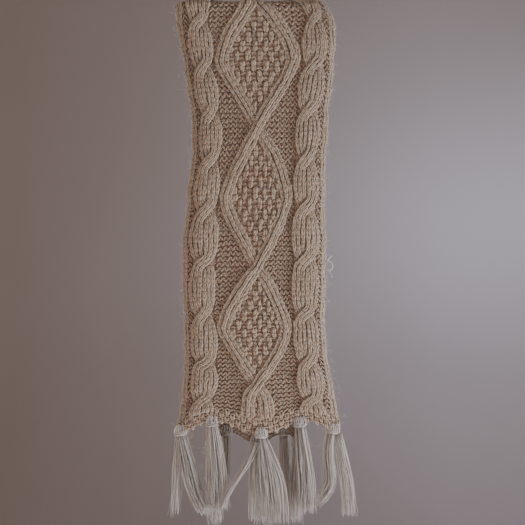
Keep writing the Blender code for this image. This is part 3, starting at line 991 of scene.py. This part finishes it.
class SCARF_OT_selvedges(bpy.types.Operator):
    """Knit the purl gutter and the two edge columns at each side."""

    bl_idname = "scarf.selvedges"
    bl_label = "Selvedges"

    def execute(self, context):
        for fall, first, last in FALLS:
            knitting = Knitting(SEED + 80 + first)
            rows = inner_rows(first, last)
            for side in (-1, 1):
                gutter = side * (CABLE_OUTER + 0.5)
                knitting.cells(purl_wave(), [(gutter, row) for row in rows], GUTTER_LIFT)
                for out in (1.5, 2.5):
                    rib(knitting, partial(edge_column, side * (CABLE_OUTER + out)), rows)
            knitting.piece(f"selvedge_{fall}", wool(context))
        return {"FINISHED"}


class SCARF_OT_border(bpy.types.Operator):
    """Knit the moss-stitch border at both ends, with its cast-on edge."""

    bl_idname = "scarf.border"
    bl_label = "End borders"

    def execute(self, context):
        for fall, first in (("front", 0), ("back", ROWS - BORDER_ROWS)):
            knits, seeds = [], []
            for row, number in product(range(first, first + BORDER_ROWS), range(-EDGE_WALE, EDGE_WALE)):
                (knits if (number + row) % 2 else seeds).append((number + 0.5, row))
            knitting = Knitting(SEED + 100 + first)
            for side in (-1, 1):
                knitting.cells(knit_leg(side), knits, BORDER_LIFT - 0.2)
            knitting.cells(purl_seed(), seeds, BORDER_LIFT)
            knitting.piece(f"border_{fall}", wool(context))
        return {"FINISHED"}


Stop = namedtuple("Stop", "row aside down")


def smooth_course(points, steps):
    """Points evenly spread on a smooth curve through a bundle's few course points."""
    points = np.array(points, float)
    run = np.concatenate(([0], np.cumsum(np.linalg.norm(np.diff(points, axis=0), axis=1))))
    table = [Stop(at, aside, down) for at, (aside, down) in zip(run, points)]
    at = np.linspace(0, run[-1], steps)
    return np.stack((smooth_between(table, "aside", at), smooth_between(table, "down", at)), axis=1)


class SCARF_OT_fringe(bpy.types.Operator):
    """Tie the ten tassels: strands drawn through the border, knotted and falling loose."""

    bl_idname = "scarf.fringe"
    bl_label = "Fringe"

    STEPS = 13
    FRIZZ = 70
    STOUT_EVERY = 7
    FRIZZ_DEPTH = 11 * MM
    FAN_DEPTH = 5.6 * MM
    MOST_WANDER = 3 * MM
    TIE_IN = 0.8
    NECK_SHARE = 0.85
    FAN_RATE = 1.9
    KNOT_DROP = 5 * MM
    WRAPS = ((-2.6, 0.97), (-4.0, 1.08), (-5.4, 1.1), (-6.7, 1.0))

    def execute(self, context):
        settings = context.scene.fringe_settings
        for number, name in enumerate(sorted({bundle.tassel for bundle in BUNDLES})):
            knitting = Knitting(SEED + 200 + number)
            bundles = [bundle for bundle in BUNDLES if bundle.tassel == name]
            for bundle in bundles:
                self.hang(knitting, bundle, settings)
            self.knot(knitting, bundles[0], settings)
            self.frizz(knitting, bundles[0], settings)
            made = knitting.piece(f"tassel_{name}_strands", fringe_wool(context))
            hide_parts(f"tassel_{name}")
        return {"FINISHED"}

    def tie_point(self, bundle):
        row = self.TIE_IN if bundle.row == 0 else ROWS - self.TIE_IN
        return SHEET.place(np.array([bundle.wale]), np.array([row]), np.array([0.0]))[0]

    def hang(self, knitting, bundle, settings):
        """Let a bundle's strands fall, each with its own place in the fan, waves and wander."""
        random = knitting.random
        tie = self.tie_point(bundle)
        course = smooth_course(bundle.course, self.STEPS) * MM
        t = np.linspace(0, 1, self.STEPS)
        neck = settings.neck * self.NECK_SHARE
        fan = neck + (bundle.foot * MM - neck) * np.clip(t * self.FAN_RATE, 0, 1) ** 0.8
        for number in range(bundle.strands):
            fine = number % self.STOUT_EVERY > 1
            bearing, away = random.uniform(0, 2 * math.pi), math.sqrt(random.uniform(0, 1))
            spot = np.array((math.cos(bearing), math.sin(bearing))) * away
            waves = random.uniform(0.8, 2.4)
            phase = random.uniform(0, 2 * math.pi, 2)
            stray = (2.2 if fine else 1.1) * MM
            wander = np.clip(random.normal(0, stray, 2), -self.MOST_WANDER, self.MOST_WANDER)
            cut = 1 - abs(random.normal(0, 0.05))
            wave_x, wave_y = (np.sin(2 * math.pi * waves * t + start) * t for start in phase)
            x = tie[0] + course[:, 0] * cut + spot[0] * fan + stray * 0.6 * wave_x + wander[0] * t**2
            y = tie[1] + spot[1] * np.minimum(fan, self.FAN_DEPTH) + 0.8 * MM * wave_y + wander[1] * t**2
            z = tie[2] - self.KNOT_DROP + course[:, 1] * cut + 0.4 * MM * spot[1]
            radius = settings.strand * (random.uniform(0.3, 0.55) if fine else random.uniform(0.75, 1.2))
            knitting.strand(np.stack((x, y, z), axis=1), radius, 3 if fine else 4)

    def knot(self, knitting, bundle, settings):
        """The lark's head: strands over both faces of the edge, and the bight that binds them."""
        random = knitting.random
        tie = self.tie_point(bundle)
        turn = np.linspace(0, 2 * math.pi, 17)
        for level, size in self.WRAPS:
            wide = settings.neck * size * random.uniform(0.96, 1.06)
            tilt = random.uniform(-0.25, 0.25)
            phase = random.uniform(0, 6)
            x = wide * np.cos(turn) * (1 + 0.05 * np.sin(3 * turn + phase))
            z = level * MM + wide * tilt * np.cos(turn) + 0.3 * MM * np.sin(2 * turn + phase)
            y = wide * 0.78 * np.sin(turn)
            knitting.strand(tie + np.stack((x, y, z), axis=1), settings.strand * 1.6)
        t = np.linspace(0, 1, 9)
        arch = np.sin(math.pi * t)
        for spot, face in product(np.linspace(-0.95, 0.95, 9), (-1, 1)):
            z = (random.uniform(3.0, 5.2) * (1 - t) - 8.5 * t) * MM
            y = face * (2.3 + 2.2 * arch**0.7 * math.sqrt(1 - 0.8 * spot**2)) * MM
            x = (spot + random.normal(0, 0.06)) * settings.neck * (0.62 + 0.42 * arch)
            x = x + random.normal(0, 0.5) * MM * arch
            radius = settings.strand * random.uniform(1.2, 1.6)
            knitting.strand(tie + np.stack((x, y, z), axis=1), radius)

    def frizz(self, knitting, bundle, settings):
        """Short stray fibres round the knot and the top of the bundle."""
        random = knitting.random
        tie = self.tie_point(bundle)
        course = smooth_course(bundle.course, self.STEPS) * MM
        t = np.linspace(0, 1, 5)[:, None]
        for _ in range(self.FRIZZ):
            level = random.uniform(0, 1) ** 1.5 * 0.75
            stop = course[int(level * (self.STEPS - 1))]
            bearing = random.uniform(0, 2 * math.pi)
            fan = settings.neck + (bundle.foot * MM - settings.neck) * min(level * self.FAN_RATE, 1)
            out = np.array((math.cos(bearing), 0.8 * math.sin(bearing), random.uniform(-0.9, 0.6)))
            side = np.cross(out, random.normal(0, 1, 3))
            start = tie + (stop[0], 0, stop[1] - 4 * MM) + out * fan * 0.8 * (1, 1, 0)
            length = random.uniform(3, 9) * MM
            line = start + out * length * t + side * length * random.normal(0, 0.5) * t**2
            line[:, 1] = np.clip(line[:, 1], tie[1] - self.FRIZZ_DEPTH, tie[1] + self.FRIZZ_DEPTH)
            knitting.strand(line, settings.strand * 0.2, 3)


class SCARF_OT_fuzz(bpy.types.Operator):
    """Raise the halo of stray fibres on both falls, and the loose loop at the right edge."""

    bl_idname = "scarf.fuzz"
    bl_label = "Stray fibres"

    RINGS = 4
    SIDES = 3
    BACK_SHARE = 0.7
    SNAG_ROW = 37.3
    SNAG_COURSES = (
        ((0, 0), (4, 3), (8, 2), (9, -3), (6, -7), (2, -6), (-1, -3)),
        ((2, 2), (6, 7), (9, 10)),
        ((3, -5), (7, -10), (9, -15)),
    )

    def execute(self, context):
        for fall, first, last in FALLS:
            knitting = Knitting(SEED + 300 + first)
            self.halo(knitting, first, last, context.scene.fuzz_settings)
            if fall == "front":
                self.snag(knitting, context.scene.fringe_settings.strand * 1.2)
            knitting.piece(f"fuzz_{fall}", fringe_wool(context))
        return {"FINISHED"}

    def halo(self, knitting, first, last, settings):
        """Curled fibres that lift off the yarn in arches, more of them at the side edges."""
        random = knitting.random
        count = int(settings.fibres * (1.0 if first == 0 else self.BACK_SHARE))
        wales = random.uniform(-EDGE_WALE - 0.3, EDGE_WALE + 0.3, count)
        edge = random.uniform(0, 1, count) < settings.edge_share
        wales = np.where(edge, np.sign(wales) * (EDGE_WALE + random.uniform(-1.6, 0.3, count)), wales)
        rows = random.uniform(max(first, 0.3), min(last, ROWS - 0.3), count)
        lift = relief(np.clip(wales, -EDGE_WALE, EDGE_WALE), rows) + 0.3
        t = np.linspace(0, 1, self.RINGS)
        heading, curl = random.uniform(0, 2 * math.pi, count), random.normal(0, 1.6, count)
        length, rise = random.uniform(3.5, 11.0, count), random.uniform(0.4, 3.2, count)
        around = heading[:, None] + curl[:, None] * t
        step = length[:, None] / (self.RINGS - 1)
        across = np.cumsum(np.cos(around), axis=1) * step / STITCH
        up = np.cumsum(np.sin(around), axis=1) * step / ROW
        wale = wales[:, None] + across - across[:, :1]
        row = np.clip(rows[:, None] + up - up[:, :1], 0, ROWS)
        height = lift[:, None] + rise[:, None] * np.sin(math.pi * np.minimum(t * 1.15, 1)) ** 0.8
        centre = SHEET.place(np.clip(wale, -EDGE_WALE, EDGE_WALE), row, height * MM)
        centre = centre.reshape(count, self.RINGS, 3)
        centre[..., 0] += np.sign(wale) * np.maximum(np.abs(wale) - EDGE_WALE, 0) * STITCH * MM
        radius = settings.radius * random.uniform(0.6, 1.3, count)[:, None]
        points = tube_points(centre, (0.31, 0.9, 0.27), radius, radius, self.SIDES)
        pattern = strand_loop(np.stack((t, t * 0, t * 0), axis=1), 0.1, self.SIDES)
        knitting.add(pattern, points.reshape(count, -1, 3), random.uniform(0, 1, count))

    def snag(self, knitting, radius):
        """A small pulled loop of yarn and two loose ends beside the right edge."""
        tie = SHEET.place(np.array([EDGE_WALE]), np.array([self.SNAG_ROW]), np.array([0.0]))[0]
        for course in self.SNAG_COURSES:
            aside, down = smooth_course(course, 16).T
            line = tie + np.stack((aside, np.full(16, -2.0), down), axis=1) * MM
            loop = strand_loop(line, radius, 6)
            knitting.add(loop, loop.points[None], np.array([0.5]))


class SCARF_OT_hooks(bpy.types.Operator):
    """Round off the two hooks from their frame solids and polish them."""

    bl_idname = "scarf.hooks"
    bl_label = "Wall hooks"

    def execute(self, context):
        chrome = chrome_material("hook chrome", context.scene.hook_settings.metal)
        for side, part in product(("left", "right"), ("plate", "prong")):
            self.polish(f"hook_{side}_{part}", chrome)
        return {"FINISHED"}

    @staticmethod
    def polish(node, chrome):
        """Join the facets of a frame solid into quads and round them off with a subdivision."""
        made = bpy.data.objects.new(f"{node}_polished", bpy.data.objects[node].data.copy())
        bpy.context.scene.collection.objects.link(made)
        bpy.ops.object.select_all(action="DESELECT")
        made.select_set(True)
        bpy.context.view_layer.objects.active = made
        bpy.ops.object.mode_set(mode="EDIT")
        bpy.ops.mesh.select_all(action="SELECT")
        bpy.ops.mesh.remove_doubles(threshold=0.00001)
        bpy.ops.mesh.tris_convert_to_quads(face_threshold=0.7, shape_threshold=0.7)
        bpy.ops.object.mode_set(mode="OBJECT")
        smooth = made.modifiers.new("Round", "SUBSURF")
        smooth.levels = 2
        bpy.ops.object.modifier_apply(modifier=smooth.name)
        bpy.ops.object.shade_smooth()
        made.data.materials.clear()
        made.data.materials.append(chrome)
        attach(made, BODY)
        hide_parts(node)


class SCARF_OT_stage(bpy.types.Operator):
    """Set the pale round studio, its soft lights and the camera."""

    bl_idname = "scarf.stage"
    bl_label = "Studio"

    CAMERA_PLACE = (0.0172, -0.637, -0.288)
    LENS_TO_SENSOR = 540 / 525
    SENSOR = 36.0
    LAMP_SPREAD = math.radians(120)
    CURVE_RADIUS = 0.8
    CURVE_STEPS = 10
    WALL_HEIGHT = 3.5
    SEGMENTS = 72
    AIR = (1.0, 0.80, 0.67, 1.0)
    AIR_STRENGTH = 0.235

    Lamp = namedtuple("Lamp", "name place aim size watts colour")
    LAMPS = (
        Lamp("window", (1.15, -0.5, -0.82), (0, 0, -0.36), (0.6, 0.8), 7.4, (0.90, 0.93, 1.0)),
        Lamp("fill", (-0.9, -0.8, -0.7), (0, 0, -0.36), (0.9, 0.9), 1.8, (1.0, 0.87, 0.80)),
        Lamp("front", (0.1, -1.3, -0.95), (0, 0, -0.4), (1.2, 1.0), 1.25, (1.0, 0.86, 0.77)),
        Lamp("rear", (-0.7, 1.35, 0.3), (0, 0, -0.3), (1.2, 1.2), 9.0, (1.0, 0.96, 0.92)),
        Lamp("wash", (1.0, 1.0, 0.0), (1.0, 2.6, -0.15), (0.6, 0.6), 2.6, (0.84, 0.88, 1.0)),
    )

    def execute(self, context):
        self.drum(context.scene.stage_settings)
        for lamp in self.LAMPS:
            self.light(context, lamp)
        world = bpy.data.worlds.new("studio air")
        world.use_nodes = True
        air = world.node_tree.nodes["Background"].inputs
        air["Color"].default_value = self.AIR
        air["Strength"].default_value = self.AIR_STRENGTH
        context.scene.world = world
        self.camera(context)
        return {"FINISHED"}

    def drum(self, settings):
        """A floor that curves up into a round wall all about the scarf."""
        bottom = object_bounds()[0].z - settings.floor_drop
        radius, curve = settings.drum_radius, self.CURVE_RADIUS
        bends = [math.pi / 2 * n / self.CURVE_STEPS for n in range(1, self.CURVE_STEPS + 1)]
        profile = [(0.02, 0), (radius * 0.4, 0), (radius - curve, 0)]
        profile += [(radius - curve + curve * math.sin(a), curve * (1 - math.cos(a))) for a in bends]
        profile.append((radius, self.WALL_HEIGHT))
        turns = [2 * math.pi * n / self.SEGMENTS for n in range(self.SEGMENTS)]
        form = bmesh.new()
        rings = [
            [form.verts.new((reach * math.cos(a), reach * math.sin(a), bottom + rise)) for a in turns]
            for reach, rise in profile
        ]
        for inner, outer in zip(rings, rings[1:]):
            for n in range(self.SEGMENTS):
                following = (n + 1) % self.SEGMENTS
                form.faces.new((inner[n], outer[n], outer[following], inner[following]))
        form.faces.new(rings[0])
        mesh = bpy.data.meshes.new("studio_floor")
        form.to_mesh(mesh)
        form.free()
        mesh.shade_smooth()
        mesh.materials.append(pale_material("studio paint", settings.backdrop, settings.backdrop_shaded))
        made = bpy.data.objects.new("studio_floor", mesh)
        bpy.context.scene.collection.objects.link(made)
        made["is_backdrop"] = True

    def light(self, context, lamp):
        data = bpy.data.lights.new(lamp.name, "AREA")
        data.shape = "RECTANGLE"
        data.size, data.size_y = lamp.size
        data.energy = lamp.watts
        data.spread = self.LAMP_SPREAD
        data.color = lamp.colour
        made = bpy.data.objects.new(lamp.name, data)
        made.location = lamp.place
        aim = Vector(lamp.aim) - Vector(lamp.place)
        made.rotation_euler = aim.to_track_quat("-Z", "Y").to_euler()
        context.scene.collection.objects.link(made)

    def camera(self, context):
        data = bpy.data.cameras.new("camera")
        data.sensor_width = self.SENSOR
        data.lens = self.SENSOR * self.LENS_TO_SENSOR
        made = bpy.data.objects.new("camera", data)
        made.location = self.CAMERA_PLACE
        made.rotation_euler = (math.pi / 2, 0, 0)
        context.scene.collection.objects.link(made)
        context.scene.camera = made


class SCARF_PT_panel(bpy.types.Panel):
    """Lists the scarf's settings and its steps in order."""

    bl_idname = "SCARF_PT_panel"
    bl_label = "Cable-knit scarf"
    bl_space_type = "VIEW_3D"
    bl_region_type = "UI"
    bl_category = "Scarf"

    def draw(self, context):
        for name in SETTINGS:
            group = getattr(context.scene, name)
            for key in group.__annotations__:
                self.layout.prop(group, key)
        for step in STEPS:
            self.layout.operator(step.bl_idname)


SETTINGS = {
    "knit_settings": KnitSettings,
    "fringe_settings": FringeSettings,
    "fuzz_settings": FuzzSettings,
    "hook_settings": HookSettings,
    "stage_settings": StageSettings,
}
STEPS = (
    SCARF_OT_backing,
    SCARF_OT_cables,
    SCARF_OT_lattice,
    SCARF_OT_ground,
    SCARF_OT_selvedges,
    SCARF_OT_border,
    SCARF_OT_fringe,
    SCARF_OT_fuzz,
    SCARF_OT_hooks,
    SCARF_OT_stage,
)
CLASSES = (*SETTINGS.values(), *STEPS, SCARF_PT_panel)


def register():
    for kind in CLASSES:
        bpy.utils.register_class(kind)
    for name, group in SETTINGS.items():
        setattr(bpy.types.Scene, name, bpy.props.PointerProperty(type=group))


def unregister():
    for name in SETTINGS:
        delattr(bpy.types.Scene, name)
    for kind in reversed(CLASSES):
        bpy.utils.unregister_class(kind)


def main():
    register()
    bpy.ops.scarf.backing()
    bpy.ops.scarf.cables()
    bpy.ops.scarf.lattice()
    bpy.ops.scarf.ground()
    bpy.ops.scarf.selvedges()
    bpy.ops.scarf.border()
    bpy.ops.scarf.fringe()
    bpy.ops.scarf.fuzz()
    bpy.ops.scarf.hooks()
    bpy.ops.scarf.stage()


if __name__ == "__main__":
    main()
